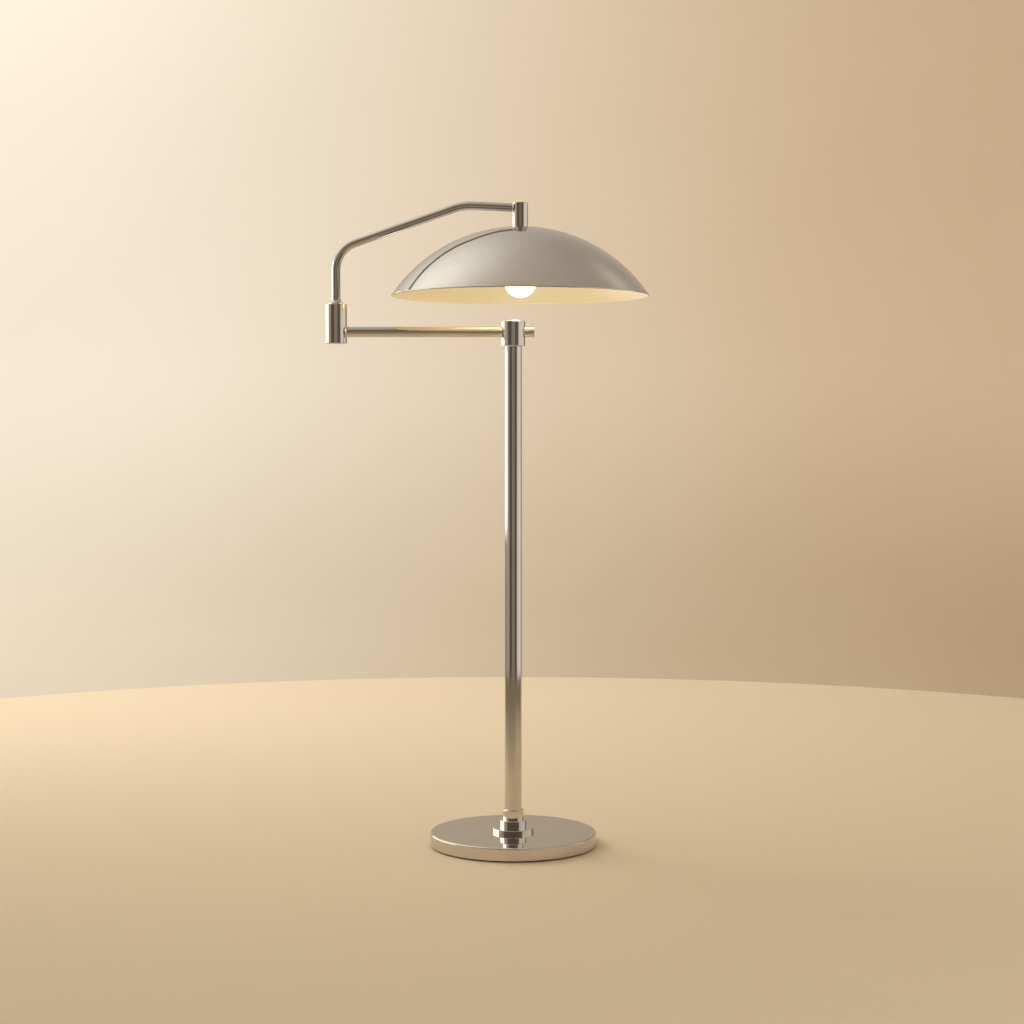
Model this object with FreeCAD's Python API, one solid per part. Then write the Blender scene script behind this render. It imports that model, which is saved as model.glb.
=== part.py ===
"""Adjustable arm floor lamp: round weighted base, post, swinging cross arm, bent upper arm and dome shade.

Millimetres, +Z up. The origin is on the floor, on the axis of the post. The arms lie in the XZ plane.
Each function returns the closed solids of one node, and every node is written to parts/NODE.step.
"""
import FreeCAD, Part
import math
import os

V = FreeCAD.Vector
UP = V(0, 0, 1)

# Base: chromed steel cover over a cast iron weight, on a dark felt pad
BASE_RADIUS = 156.0
BASE_TOP = 26.4
BASE_EDGE_ROUND = 3.0
COVER_WALL = 1.6
PAD_THICKNESS = 3.0
PAD_RADIUS = 153.0
WEIGHT_GAP = 0.3
WEIGHT_CHAMFER = 2.0
WEIGHT_WEB = 6.0
RECESS_RADIUS = 32.0
CHANNEL_WIDTH = 12.0

# Cord inlet at the back of the base
INLET_HEIGHT = 11.5
INLET_BORE = 3.6
GROMMET_RADIUS = 5.5
GROMMET_FLANGE_RADIUS = 7.5
GROMMET_INNER_Y = 149.0
GROMMET_OUTER_Y = 158.0

# Hub on the base
FLANGE_RADIUS = 39.0
FLANGE_HEIGHT = 7.0
SOCKET_RADIUS = 25.0
SOCKET_HEIGHT = 15.0
SOCKET_FLOOR = 3.0
RING_RADIUS = 19.4
RING_HEIGHT = 20.0
RING_ROUND = 2.5

# Threaded lamp pipe, its nuts and washers
PIPE_RADIUS = 5.0
PIPE_BORE = 3.5
PIPE_HOLE = 5.2
NUT_ACROSS_FLATS = 17.0
NUT_HEIGHT = 4.0
WASHER_RADIUS = 15.0
WASHER_HEIGHT = 2.0

# Post and the swivel on its top
POST_RADIUS = 16.0
POST_BORE = 14.5
POST_TOP = 936.4
PLUG_HEIGHT = 20.0
SPINDLE_PLUG_HEIGHT = 30.0
SPINDLE_RADIUS = 10.0
SPINDLE_TOP = 950.4
WIRE_BORE = 4.0
GROOVE_LOW = 942.4
GROOVE_HEIGHT = 3.2
GROOVE_RADIUS = 8.4
THRUST_WASHER = 1.0
GROOVE_PIN_RADIUS = 1.3
GROOVE_PIN_GAP = 0.5

# Headless set screws
SMALL_SCREW_RADIUS = 2.0
SMALL_SCREW_KEY = 2.0
LOCK_SCREW_RADIUS = 3.0
LOCK_SCREW_KEY = 3.0

# Collar that turns on the post
COLLAR_RADIUS = 22.5
COLLAR_LOW = POST_TOP + THRUST_WASHER
COLLAR_TOP = 984.6
COLLAR_CHAMFER = 1.8
BUSH_RADIUS = 12.0
RUNNING_GAP = 0.05
BUSH_END_GAP = 0.2
RETAINER_HEIGHT = GROOVE_LOW + GROOVE_HEIGHT / 2

# Cross arm
ARM_HEIGHT = 963.5
ARM_RADIUS = 9.75
ARM_BORE = 8.25
ARM_STUB_X = 37.0
END_CAP_THICKNESS = 2.4

# Knuckle at the end of the cross arm
KNUCKLE_X = -330.0
KNUCKLE_RADIUS = 20.0
KNUCKLE_LOW = 941.9
KNUCKLE_TOP = 1014.9
CHAMBER_RADIUS = 16.0
CHAMBER_TOP = 980.0
BEARING_RADIUS = 10.0
BUSH_LENGTH = 12.0
BUSH_FLANGE_RADIUS = 12.8
BUSH_FLANGE = 0.8
BOTTOM_CAP = 4.0
FRICTION_WASHER = 1.5
STOP_RING_RADIUS = 13.0
STOP_LUG_RADIUS = 15.2
STOP_PIN_RADIUS = 2.0
STOP_PIN_TIP = 13.8
RING_SCREW_RADIUS = 1.5
RING_SCREW_LENGTH = 6.4

# Upper arm: one bent tube from the knuckle to the stem over the shade
TUBE_RADIUS = 8.0
TUBE_BORE = 6.6
TUBE_LOW = 968.0
BEND_LOW_HEIGHT = 1116.0
BEND_LOW_RADIUS = 52.0
BEND_HIGH_X = -94.6
BEND_HIGH_HEIGHT = 1198.2
BEND_HIGH_RADIUS = 100.0
TUBE_END_HEIGHT = 1193.5
FERRULE_TOP = 1026.0
FERRULE_BAND = 1.5

# Turning stops: a lug or land of this half width leaves each arm 166 degrees both ways
STOP_ANGLE = 166.0

# Shade and the stem that carries it
SHADE_X = 13.0
SHADE_RIM_RADIUS = 240.0
SHADE_RIM_HEIGHT = 1030.4
SHADE_APEX = 1158.3
SHADE_WALL = 1.0
HEM_RADIUS = 1.4
STEM_RADIUS = 14.5
STEM_TOP = 1203.4
STEM_CAP = 2.0
STEM_BORE = 7.0
STEM_THREAD_TOP = 1172.0
STEM_CHAMFER = 0.9

# Lampholder and bulb
BULB_TIP = 1027.4
BULB_RADIUS = 30.0
BULB_NECK_RADIUS = 14.0
BULB_NECK_HEIGHT = 1103.0
BULB_GLASS_TOP = 1106.0
BULB_WALL = 1.0
BULB_CAP_RADIUS = 13.2
BULB_CAP_TOP = 1126.0
BULB_CAP_CONE = 3.6
CONTACT_HEIGHT = 1131.6
CONTACT_THICKNESS = 1.4
CONTACT_RADIUS = 4.0
HOLDER_RADIUS = 18.5
HOLDER_WALL = 0.9
HOLDER_LOW = 1102.0
HOLDER_JOINT = 1131.0
HOLDER_SHOULDER = 1143.0
HOLDER_TOP = 1151.3
SCREW_SHELL_RADIUS = 14.2
SCREW_SHELL_WALL = 0.6
INSULATOR_TOP = 1135.0
BOSS_RADIUS = 8.0
SWITCH_HEIGHT = 1139.0
SWITCH_SHAFT_RADIUS = 2.0
SWITCH_BLOCK_RADIUS = 11.0
SWITCH_BUSHING_RADIUS = 3.6
KNOB_RADIUS = 6.5
KNOB_NEAR_Y = 22.0
KNOB_FAR_Y = 33.0
KNOB_FLUTES = 12
FLUTE_RADIUS = 1.0

# Internal wire
WIRE_RADIUS = 2.0
WIRE_START_Y = 130.0

SOCKET_LOW = BASE_TOP + FLANGE_HEIGHT
RING_LOW = SOCKET_LOW + SOCKET_HEIGHT
POST_LOW = SOCKET_LOW + SOCKET_FLOOR
RECESS_TOP = BASE_TOP - COVER_WALL - WEIGHT_WEB
SHADE_RISE = SHADE_APEX - SHADE_RIM_HEIGHT
SHADE_SPHERE = (SHADE_RIM_RADIUS ** 2 + SHADE_RISE ** 2) / (2 * SHADE_RISE)
SHADE_CENTRE = SHADE_APEX - SHADE_SPHERE
NUT_TOP = SHADE_APEX - SHADE_WALL - WASHER_HEIGHT


# Building blocks

def rod(radius, low, high, x=0.0, y=0.0):
    """Upright cylinder between two heights."""
    return Part.makeCylinder(radius, high - low, V(x, y, low))


def ring(outer, inner, low, high, x=0.0):
    """Upright tube between two heights."""
    return rod(outer, low, high, x).cut(rod(inner, low - 1, high + 1, x))


def bar_x(radius, x0, x1, height):
    """Cylinder lying along X."""
    return Part.makeCylinder(radius, x1 - x0, V(x0, 0, height), V(1, 0, 0))


def bar_y(radius, y0, y1, height, x=0.0):
    """Cylinder lying along Y."""
    return Part.makeCylinder(radius, y1 - y0, V(x, y0, height), V(0, 1, 0))


def sector(radius, low, high, half_angle, x=0.0):
    """Upright wedge of a cylinder, centred on the -Y direction."""
    wedge = Part.makeCylinder(radius, high - low, V(0, 0, 0), UP, 2 * half_angle)
    wedge.rotate(V(0, 0, 0), UP, -90 - half_angle)
    wedge.translate(V(x, 0, low))
    return wedge


def hexagon(across_flats, low, high, x=0.0):
    """Upright hexagonal prism."""
    corner = across_flats / math.sqrt(3)
    points = []
    for step in range(7):
        angle = math.radians(60 * step)
        points.append(V(x + corner * math.cos(angle), corner * math.sin(angle), low))
    return Part.Face(Part.makePolygon(points)).extrude(V(0, 0, high - low))


def turned(profile, x=0.0):
    """Solid turned about an upright axis from closed (radius, height) points."""
    points = [V(radius, 0, height) for radius, height in profile]
    face = Part.Face(Part.makePolygon(points + [points[0]]))
    solid = face.revolve(V(0, 0, 0), UP, 360)
    solid.translate(V(x, 0, 0))
    return solid


def turned_edges(edges, x=0.0):
    """Face turned about an upright axis from a closed list of edges in the XZ plane."""
    solid = Part.Face(Part.Wire(Part.__sortEdges__(edges))).revolve(V(0, 0, 0), UP, 360)
    solid.translate(V(x, 0, 0))
    return solid


def circles_at(shape, radius, height):
    """Full circular edges of one radius at one height."""
    found = []
    for edge in shape.Edges:
        circle = edge.Curve
        if not isinstance(circle, Part.Circle):
            continue
        if abs(circle.Radius - radius) < 0.01 and abs(circle.Center.z - height) < 0.01:
            found.append(edge)
    return found


def bent_path(points, radii):
    """Wire of straight runs joined by tangent arcs, one radius for each inner point."""
    edges = []
    start = points[0]
    for corner, radius, before, after in zip(points[1:-1], radii, points[:-2], points[2:]):
        back = (before - corner).normalize()
        ahead = (after - corner).normalize()
        half_turn = (math.pi - back.getAngle(ahead)) / 2
        reach = radius * math.tan(half_turn)
        arc_in = corner + back * reach
        arc_out = corner + ahead * reach
        inward = (back + ahead).normalize()
        middle = corner + inward * (radius / math.cos(half_turn) - radius)
        edges.append(Part.LineSegment(start, arc_in).toShape())
        edges.append(Part.Arc(arc_in, middle, arc_out).toShape())
        start = arc_out
    edges.append(Part.LineSegment(start, points[-1]).toShape())
    return Part.Wire(edges)


def swept(path, radius):
    """Round bar along a path."""
    start = path.Edges[0]
    heading = start.tangentAt(start.FirstParameter)
    circle = Part.Edge(Part.Circle(start.Vertexes[0].Point, heading, radius))
    return path.makePipeShell([Part.Wire(circle)], True, False)


def nut(low, x=0.0):
    """Low hexagon nut on the threaded pipe."""
    return hexagon(NUT_ACROSS_FLATS, low, low + NUT_HEIGHT, x).cut(rod(PIPE_RADIUS, low - 1, low + 9, x))


def set_screw(radius, length, key):
    """Headless screw standing on its tip at the origin, with a hexagon socket in its top."""
    return rod(radius, 0, length).cut(hexagon(key, length - key, length + 1))


def point_to_back(shape, y, height):
    """Turn an upright screw so that its tip is at y and its socket faces +Y."""
    shape.rotate(V(0, 0, 0), V(1, 0, 0), -90)
    shape.translate(V(0, y, height))
    return shape


# Base

def felt_pad():
    return rod(PAD_RADIUS, 0, PAD_THICKNESS)


def base_cover():
    shell = rod(BASE_RADIUS, PAD_THICKNESS, BASE_TOP)
    shell = shell.makeFillet(BASE_EDGE_ROUND, circles_at(shell, BASE_RADIUS, BASE_TOP))
    inner_top = BASE_TOP - COVER_WALL
    inner_radius = BASE_RADIUS - COVER_WALL
    hollow = rod(inner_radius, PAD_THICKNESS - 1, inner_top)
    inner_round = BASE_EDGE_ROUND - COVER_WALL
    hollow = hollow.makeFillet(inner_round, circles_at(hollow, inner_radius, inner_top))
    shell = shell.cut(hollow).cut(rod(PIPE_HOLE, 0, BASE_TOP + 1))
    return shell.cut(bar_y(GROMMET_RADIUS, GROMMET_INNER_Y, BASE_RADIUS + 1, INLET_HEIGHT))


def base_weight():
    top = BASE_TOP - COVER_WALL
    radius = BASE_RADIUS - COVER_WALL - WEIGHT_GAP
    disc = rod(radius, PAD_THICKNESS, top)
    disc = disc.makeChamfer(WEIGHT_CHAMFER, circles_at(disc, radius, top))
    recess = rod(RECESS_RADIUS, PAD_THICKNESS - 1, RECESS_TOP)
    channel = Part.makeBox(CHANNEL_WIDTH, radius + 1, RECESS_TOP - PAD_THICKNESS + 1,
                           V(-CHANNEL_WIDTH / 2, 0, PAD_THICKNESS - 1))
    return disc.cut(recess).cut(channel).cut(rod(PIPE_HOLE, 0, top + 1))


def cord_grommet():
    barrel = bar_y(GROMMET_RADIUS, GROMMET_INNER_Y, GROMMET_OUTER_Y, INLET_HEIGHT)
    flange = bar_y(GROMMET_FLANGE_RADIUS, BASE_RADIUS - 3, GROMMET_OUTER_Y, INLET_HEIGHT)
    flange = flange.cut(rod(BASE_RADIUS, 0, BASE_TOP + 1))
    bore = bar_y(INLET_BORE, GROMMET_INNER_Y - 1, GROMMET_OUTER_Y + 1, INLET_HEIGHT)
    return barrel.fuse(flange).removeSplitter().cut(bore)


def base_washer():
    return ring(WASHER_RADIUS, PIPE_HOLE, RECESS_TOP - WASHER_HEIGHT, RECESS_TOP)


def base_nut():
    return nut(RECESS_TOP - WASHER_HEIGHT - NUT_HEIGHT)


def base_pipe():
    low = RECESS_TOP - WASHER_HEIGHT - NUT_HEIGHT - 1
    return ring(PIPE_RADIUS, PIPE_BORE, low, POST_LOW + PLUG_HEIGHT - 3)


# Hub and post

def hub_flange():
    disc = rod(FLANGE_RADIUS, BASE_TOP, SOCKET_LOW)
    disc = disc.makeFillet(0.8, circles_at(disc, FLANGE_RADIUS, SOCKET_LOW))
    return disc.cut(rod(PIPE_HOLE, BASE_TOP - 1, SOCKET_LOW + 1))


def hub_socket():
    body = rod(SOCKET_RADIUS, SOCKET_LOW, RING_LOW)
    body = body.makeFillet(1.2, circles_at(body, SOCKET_RADIUS, RING_LOW))
    body = body.cut(rod(POST_RADIUS, POST_LOW, RING_LOW + 1))
    return body.cut(rod(PIPE_HOLE, SOCKET_LOW - 1, POST_LOW + 1))


def hub_ring():
    body = rod(RING_RADIUS, RING_LOW, RING_LOW + RING_HEIGHT)
    body = body.makeFillet(RING_ROUND, circles_at(body, RING_RADIUS, RING_LOW + RING_HEIGHT))
    return body.cut(rod(POST_RADIUS, RING_LOW - 1, RING_LOW + RING_HEIGHT + 1))


def post_tube():
    return ring(POST_RADIUS, POST_BORE, POST_LOW, POST_TOP)


def post_bottom_plug():
    return ring(POST_BORE, PIPE_RADIUS, POST_LOW, POST_LOW + PLUG_HEIGHT)


def land_half_angle(pin_radius, pin_distance):
    """Half width of the stop that a pin meets at STOP_ANGLE from rest."""
    return 180 - STOP_ANGLE - math.degrees(math.asin(pin_radius / pin_distance))


def post_spindle():
    plug = rod(POST_BORE, POST_TOP - SPINDLE_PLUG_HEIGHT, POST_TOP)
    spindle = plug.fuse(rod(SPINDLE_RADIUS, POST_TOP - 1, SPINDLE_TOP)).removeSplitter()
    groove_high = GROOVE_LOW + GROOVE_HEIGHT
    groove = ring(SPINDLE_RADIUS + 1, GROOVE_RADIUS, GROOVE_LOW, groove_high)
    half_angle = land_half_angle(GROOVE_PIN_RADIUS, GROOVE_RADIUS + GROOVE_PIN_GAP)
    land = sector(SPINDLE_RADIUS + 2, GROOVE_LOW - 1, groove_high + 1, half_angle)
    spindle = spindle.cut(groove.cut(land))
    return spindle.cut(rod(WIRE_BORE, 0, SPINDLE_TOP + 1))


def post_thrust_washer():
    return ring(POST_RADIUS - 0.5, SPINDLE_RADIUS + 0.2, POST_TOP, COLLAR_LOW)


# Collar and cross arm

def collar_body():
    body = rod(COLLAR_RADIUS, COLLAR_LOW, COLLAR_TOP)
    body = body.makeChamfer(COLLAR_CHAMFER, circles_at(body, COLLAR_RADIUS, COLLAR_TOP))
    body = body.makeChamfer(0.6, circles_at(body, COLLAR_RADIUS, COLLAR_LOW))
    body = body.cut(rod(BUSH_RADIUS, COLLAR_LOW - 1, SPINDLE_TOP + 3 * BUSH_END_GAP))
    body = body.cut(rod(WIRE_BORE, COLLAR_LOW, ARM_HEIGHT))
    body = body.cut(bar_x(ARM_RADIUS, -COLLAR_RADIUS - 1, COLLAR_RADIUS + 1, ARM_HEIGHT))
    body = body.cut(rod(LOCK_SCREW_RADIUS, ARM_HEIGHT, COLLAR_TOP + 1))
    return body.cut(bar_y(SMALL_SCREW_RADIUS, 0, COLLAR_RADIUS + 1, RETAINER_HEIGHT))


def collar_bush():
    low = COLLAR_LOW + BUSH_END_GAP
    bush = ring(BUSH_RADIUS, SPINDLE_RADIUS + RUNNING_GAP, low, SPINDLE_TOP + 2 * BUSH_END_GAP)
    return bush.cut(bar_y(SMALL_SCREW_RADIUS, 0, COLLAR_RADIUS, RETAINER_HEIGHT))


def collar_retaining_screw():
    tip_y = GROOVE_RADIUS + GROOVE_PIN_GAP
    body_y = BUSH_RADIUS + 0.4
    screw = set_screw(SMALL_SCREW_RADIUS, COLLAR_RADIUS - 0.9 - body_y, SMALL_SCREW_KEY)
    screw.translate(V(0, 0, body_y - tip_y))
    pin = rod(GROOVE_PIN_RADIUS, 0, body_y - tip_y + 0.5)
    return point_to_back(screw.fuse(pin), tip_y, RETAINER_HEIGHT)


def arm_lock_screw():
    low = ARM_HEIGHT + ARM_RADIUS
    screw = set_screw(LOCK_SCREW_RADIUS, COLLAR_TOP - 1.2 - low, LOCK_SCREW_KEY)
    screw.translate(V(0, 0, low))
    return screw


def cross_arm_tube():
    end = KNUCKLE_X + CHAMBER_RADIUS - 0.3
    tube = bar_x(ARM_RADIUS, end, ARM_STUB_X, ARM_HEIGHT)
    tube = tube.cut(bar_x(ARM_BORE, end - 1, ARM_STUB_X + 1, ARM_HEIGHT))
    return tube.cut(rod(WIRE_BORE, ARM_HEIGHT - ARM_RADIUS - 1, ARM_HEIGHT))


def arm_end_cap():
    face_x = ARM_STUB_X + END_CAP_THICKNESS
    head = bar_x(ARM_RADIUS + 0.4, ARM_STUB_X, face_x, ARM_HEIGHT)
    rim = [edge for edge in head.Edges if abs(edge.CenterOfMass.x - face_x) < 0.01]
    head = head.makeFillet(0.9, rim)
    return head.fuse(bar_x(ARM_BORE, ARM_STUB_X - 8, ARM_STUB_X, ARM_HEIGHT)).removeSplitter()


def joint_ring(x0, x1, tube_radius, flare, height):
    """Flared brazing ring round a tube lying along X, wide at x0 and thin at x1."""
    length = abs(x1 - x0)
    middle = V(tube_radius + flare * 0.3, 0, length * 0.3)
    edges = [Part.LineSegment(V(tube_radius, 0, 0), V(tube_radius + flare, 0, 0)).toShape(),
             Part.Arc(V(tube_radius + flare, 0, 0), middle, V(tube_radius + 0.3, 0, length)).toShape(),
             Part.LineSegment(V(tube_radius + 0.3, 0, length), V(tube_radius, 0, length)).toShape(),
             Part.LineSegment(V(tube_radius, 0, length), V(tube_radius, 0, 0)).toShape()]
    flared = turned_edges(edges)
    flared.rotate(V(0, 0, 0), V(0, 1, 0), math.copysign(90, x1 - x0))
    flared.translate(V(x0, 0, height))
    return flared


def arm_joint_ring():
    face = KNUCKLE_X + KNUCKLE_RADIUS
    flared = joint_ring(face - 3.4, face + 4.5, ARM_RADIUS, 4.6, ARM_HEIGHT)
    return flared.cut(rod(KNUCKLE_RADIUS, KNUCKLE_LOW, KNUCKLE_TOP, KNUCKLE_X))


# Knuckle

def knuckle_sleeve():
    body = rod(KNUCKLE_RADIUS, KNUCKLE_LOW, KNUCKLE_TOP, KNUCKLE_X)
    ends = circles_at(body, KNUCKLE_RADIUS, KNUCKLE_LOW) + circles_at(body, KNUCKLE_RADIUS, KNUCKLE_TOP)
    body = body.makeChamfer(0.8, ends)
    body = body.cut(rod(CHAMBER_RADIUS, KNUCKLE_LOW - 1, CHAMBER_TOP, KNUCKLE_X))
    body = body.cut(rod(BEARING_RADIUS, CHAMBER_TOP - 1, KNUCKLE_TOP + 1, KNUCKLE_X))
    body = body.cut(bar_x(ARM_RADIUS, KNUCKLE_X, KNUCKLE_X + KNUCKLE_RADIUS + 1, ARM_HEIGHT))
    return body.cut(bar_y(STOP_PIN_RADIUS, 0, KNUCKLE_RADIUS + 1, stop_height(), KNUCKLE_X))


def stop_height():
    """Height of the knuckle's stop pin, half way up the stop ring."""
    return (TUBE_LOW + CHAMBER_TOP - FRICTION_WASHER) / 2


def knuckle_bottom_cap():
    cap = rod(CHAMBER_RADIUS - 0.02, KNUCKLE_LOW, KNUCKLE_LOW + BOTTOM_CAP, KNUCKLE_X)
    return cap.makeChamfer(0.4, circles_at(cap, CHAMBER_RADIUS - 0.02, KNUCKLE_LOW))


def knuckle_lower_bush():
    return ring(BEARING_RADIUS, TUBE_RADIUS + RUNNING_GAP, CHAMBER_TOP, CHAMBER_TOP + BUSH_LENGTH, KNUCKLE_X)


def knuckle_upper_bush():
    bush = ring(BEARING_RADIUS, TUBE_RADIUS + RUNNING_GAP, KNUCKLE_TOP - BUSH_LENGTH, KNUCKLE_TOP, KNUCKLE_X)
    flange_top = KNUCKLE_TOP + BUSH_FLANGE
    flange = ring(BUSH_FLANGE_RADIUS, TUBE_RADIUS + RUNNING_GAP, KNUCKLE_TOP, flange_top, KNUCKLE_X)
    return bush.fuse(flange).removeSplitter()


def knuckle_friction_washer():
    low = CHAMBER_TOP - FRICTION_WASHER
    return ring(STOP_RING_RADIUS, TUBE_RADIUS + 0.3, low, CHAMBER_TOP, KNUCKLE_X)


def knuckle_stop_pin():
    return bar_y(STOP_PIN_RADIUS, STOP_PIN_TIP, KNUCKLE_RADIUS - 0.8, stop_height(), KNUCKLE_X)


def knuckle_stop_ring():
    high = CHAMBER_TOP - FRICTION_WASHER
    body = rod(STOP_RING_RADIUS, TUBE_LOW, high, KNUCKLE_X)
    half_angle = land_half_angle(STOP_PIN_RADIUS, STOP_RING_RADIUS + 1)
    lug = sector(STOP_LUG_RADIUS, TUBE_LOW, high, half_angle, KNUCKLE_X)
    body = body.fuse(lug).removeSplitter().cut(rod(TUBE_RADIUS, TUBE_LOW - 1, high + 1, KNUCKLE_X))
    return body.cut(bar_y(RING_SCREW_RADIUS, -CHAMBER_RADIUS, 0, stop_height(), KNUCKLE_X))


def stop_ring_screw():
    screw = set_screw(RING_SCREW_RADIUS, RING_SCREW_LENGTH, RING_SCREW_RADIUS)
    screw.rotate(V(0, 0, 0), V(1, 0, 0), 90)
    screw.translate(V(KNUCKLE_X, -TUBE_RADIUS, stop_height()))
    return screw


# Upper arm

def upper_arm_points():
    return [V(KNUCKLE_X, 0, TUBE_LOW), V(KNUCKLE_X, 0, BEND_LOW_HEIGHT),
            V(BEND_HIGH_X, 0, BEND_HIGH_HEIGHT), V(SHADE_X, 0, TUBE_END_HEIGHT)]


def upper_arm_tube():
    path = bent_path(upper_arm_points(), [BEND_LOW_RADIUS, BEND_HIGH_RADIUS])
    tube = swept(path, TUBE_RADIUS).cut(swept(path, TUBE_BORE))
    return tube.cut(rod(STEM_RADIUS, SHADE_APEX, STEM_TOP + 20, SHADE_X))


def arm_ferrule():
    low = KNUCKLE_TOP + BUSH_FLANGE
    top_radius = TUBE_RADIUS + 0.5
    shoulder = V(BUSH_FLANGE_RADIUS, 0, low + FERRULE_BAND)
    neck = V(top_radius, 0, FERRULE_TOP)
    middle = V(top_radius + 1.3, 0, low + FERRULE_BAND + 3.2)
    edges = [Part.LineSegment(V(TUBE_RADIUS, 0, low), V(BUSH_FLANGE_RADIUS, 0, low)).toShape(),
             Part.LineSegment(V(BUSH_FLANGE_RADIUS, 0, low), shoulder).toShape(),
             Part.Arc(shoulder, middle, neck).toShape(),
             Part.LineSegment(neck, V(TUBE_RADIUS, 0, FERRULE_TOP)).toShape(),
             Part.LineSegment(V(TUBE_RADIUS, 0, FERRULE_TOP), V(TUBE_RADIUS, 0, low)).toShape()]
    return turned_edges(edges, KNUCKLE_X)


def stem_joint_ring():
    face = SHADE_X - STEM_RADIUS
    slope = math.degrees(math.atan2(BEND_HIGH_HEIGHT - TUBE_END_HEIGHT, SHADE_X - BEND_HIGH_X))
    flared = joint_ring(face + 2.2, face - 3.6, TUBE_RADIUS, 3.4, TUBE_END_HEIGHT)
    flared.rotate(V(SHADE_X, 0, TUBE_END_HEIGHT), V(0, 1, 0), slope)
    flared = flared.cut(rod(STEM_RADIUS, SHADE_APEX, STEM_TOP + 20, SHADE_X))
    path = bent_path(upper_arm_points(), [BEND_LOW_RADIUS, BEND_HIGH_RADIUS])
    flared = flared.cut(swept(path, TUBE_RADIUS))
    return flared.common(rod(60, SHADE_APEX, STEM_TOP - 0.2, SHADE_X))


def dome(radius):
    """Ball that the shade's wall follows."""
    return Part.makeSphere(radius, V(SHADE_X, 0, SHADE_CENTRE))


def stem_body():
    high = STEM_TOP - STEM_CAP
    body = rod(STEM_RADIUS, SHADE_APEX - 2, high, SHADE_X).cut(dome(SHADE_SPHERE))
    body = body.cut(rod(STEM_BORE, STEM_THREAD_TOP, high + 1, SHADE_X))
    body = body.cut(rod(PIPE_RADIUS, SHADE_APEX - 3, high, SHADE_X))
    return body.cut(bar_x(TUBE_BORE - 0.6, SHADE_X - STEM_RADIUS - 1, SHADE_X, TUBE_END_HEIGHT))


def stem_cap():
    low = STEM_TOP - STEM_CAP
    lid = rod(STEM_RADIUS, low, STEM_TOP, SHADE_X)
    lid = lid.makeChamfer(STEM_CHAMFER, circles_at(lid, STEM_RADIUS, STEM_TOP))
    return lid


# Shade

def shade_pipe():
    return ring(PIPE_RADIUS, PIPE_BORE, HOLDER_TOP - 6, STEM_THREAD_TOP - 1, SHADE_X)


def shade_shell():
    wall = dome(SHADE_SPHERE).cut(dome(SHADE_SPHERE - SHADE_WALL))
    wall = wall.common(rod(SHADE_RIM_RADIUS + 20, SHADE_RIM_HEIGHT, SHADE_APEX + 10, SHADE_X))
    wall = wall.cut(rod(PIPE_HOLE, SHADE_APEX - 20, SHADE_APEX + 10, SHADE_X))
    hem_centre = V(SHADE_X, 0, SHADE_RIM_HEIGHT + HEM_RADIUS * 0.6)
    hem = Part.makeTorus(SHADE_RIM_RADIUS - HEM_RADIUS * 0.9, HEM_RADIUS, hem_centre)
    return wall.fuse(hem).removeSplitter()


def shade_washer():
    blank = rod(WASHER_RADIUS - 1, NUT_TOP, SHADE_APEX, SHADE_X)
    blank = blank.common(dome(SHADE_SPHERE - SHADE_WALL))
    return blank.cut(rod(PIPE_HOLE, NUT_TOP - 1, SHADE_APEX, SHADE_X))


def shade_nut():
    return nut(NUT_TOP - NUT_HEIGHT, SHADE_X)


# Lampholder and bulb

def lampholder_cap():
    inner = HOLDER_RADIUS - HOLDER_WALL
    slant_top = HOLDER_SHOULDER + 4.3
    profile = [(PIPE_RADIUS, HOLDER_TOP), (BOSS_RADIUS, HOLDER_TOP), (BOSS_RADIUS, slant_top),
               (HOLDER_RADIUS, HOLDER_SHOULDER), (HOLDER_RADIUS, HOLDER_JOINT), (inner, HOLDER_JOINT),
               (inner, HOLDER_SHOULDER - 0.5), (BOSS_RADIUS - 1, slant_top - 1.4), (PIPE_RADIUS, slant_top - 1.4)]
    cap = turned(profile, SHADE_X)
    hole = bar_y(SWITCH_BUSHING_RADIUS, HOLDER_RADIUS - 4, HOLDER_RADIUS + 4, SWITCH_HEIGHT, SHADE_X)
    return cap.cut(hole)


def lampholder_shell():
    shell = ring(HOLDER_RADIUS, HOLDER_RADIUS - HOLDER_WALL, HOLDER_LOW, HOLDER_JOINT, SHADE_X)
    lip = ring(HOLDER_RADIUS + 0.8, HOLDER_RADIUS - 0.5, HOLDER_LOW, HOLDER_LOW + 2.4, SHADE_X)
    return shell.fuse(lip).removeSplitter()


def lampholder_insulator():
    outer = HOLDER_RADIUS - HOLDER_WALL - 0.1
    body = rod(outer, HOLDER_LOW + 5, INSULATOR_TOP, SHADE_X)
    return body.cut(rod(SCREW_SHELL_RADIUS + 0.1, HOLDER_LOW, CONTACT_HEIGHT + CONTACT_THICKNESS, SHADE_X))


def screw_shell():
    inner = SCREW_SHELL_RADIUS - SCREW_SHELL_WALL
    return ring(SCREW_SHELL_RADIUS, inner, HOLDER_LOW + 6, CONTACT_HEIGHT + CONTACT_THICKNESS, SHADE_X)


def centre_contact():
    return rod(CONTACT_RADIUS, CONTACT_HEIGHT, CONTACT_HEIGHT + CONTACT_THICKNESS, SHADE_X)


def switch_block():
    block = rod(SWITCH_BLOCK_RADIUS, INSULATOR_TOP, HOLDER_SHOULDER, SHADE_X)
    return block.cut(bar_y(SWITCH_SHAFT_RADIUS + 0.1, 3, 20, SWITCH_HEIGHT, SHADE_X))


def switch_bushing():
    outer = bar_y(SWITCH_BUSHING_RADIUS, HOLDER_RADIUS - 1.6, KNOB_NEAR_Y - 0.8, SWITCH_HEIGHT, SHADE_X)
    return outer.cut(bar_y(SWITCH_SHAFT_RADIUS + 0.1, 10, KNOB_NEAR_Y, SWITCH_HEIGHT, SHADE_X))


def switch_shaft():
    return bar_y(SWITCH_SHAFT_RADIUS, 3.4, KNOB_FAR_Y - 4, SWITCH_HEIGHT, SHADE_X)


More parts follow.
